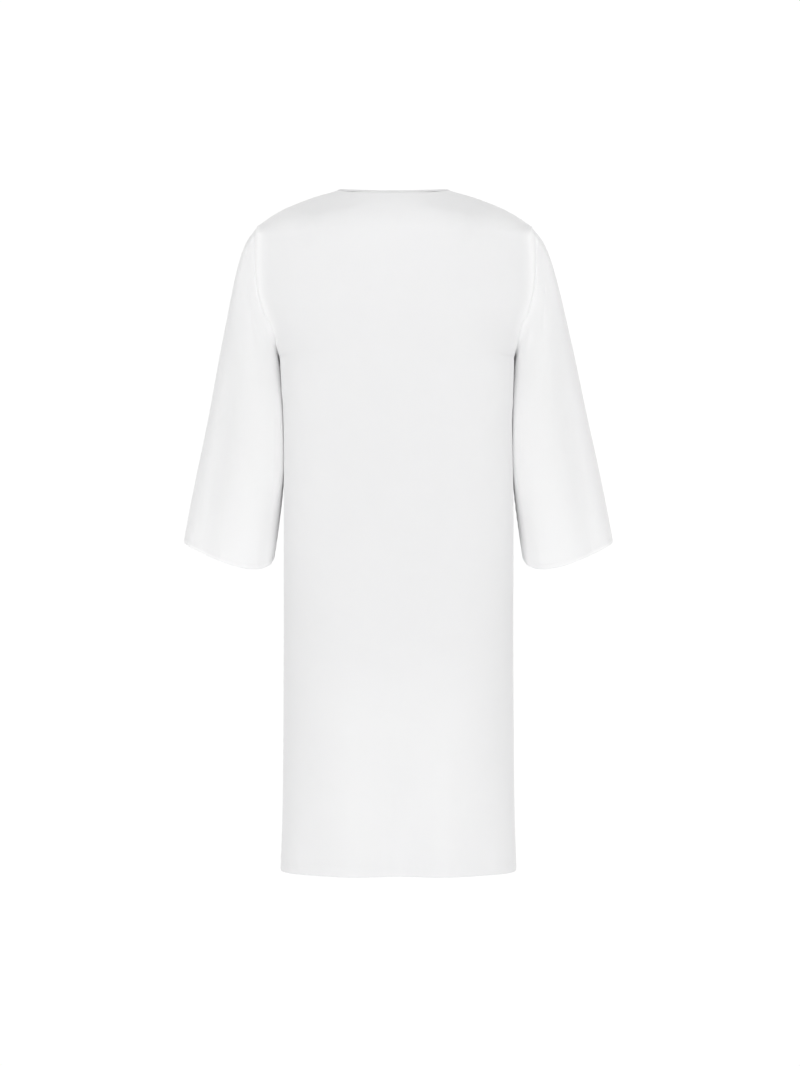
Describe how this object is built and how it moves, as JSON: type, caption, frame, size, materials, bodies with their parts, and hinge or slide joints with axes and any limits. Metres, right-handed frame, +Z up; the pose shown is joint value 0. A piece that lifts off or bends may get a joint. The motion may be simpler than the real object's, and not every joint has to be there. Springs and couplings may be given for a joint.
{
  "type": "tunic top",
  "caption": "Long straight white tunic with wide three-quarter sleeves, scooped front neck and a narrow neck binding, filled out as worn and empty inside.",
  "frame": {"origin": "at the wearer's shoulders: midway between the two neck points, where the shoulder seams meet the neck", "axes": "+Z up, from hem to neck; +Y the way the wearer faces, so the back panel is on -Y; +X the wearer's right"},
  "size_m": [0.6428, 0.2541, 1.0206],
  "materials": {
    "white_cloth": "matt white plain weave",
    "white_binding": "matt white self binding"
  },
  "bodies": {
    "root": {"back_panel": "white_cloth", "front_panel": "white_cloth", "sleeve_left": "white_cloth", "sleeve_right": "white_cloth", "neck_binding": "white_binding"}
  },
  "joints": []
}
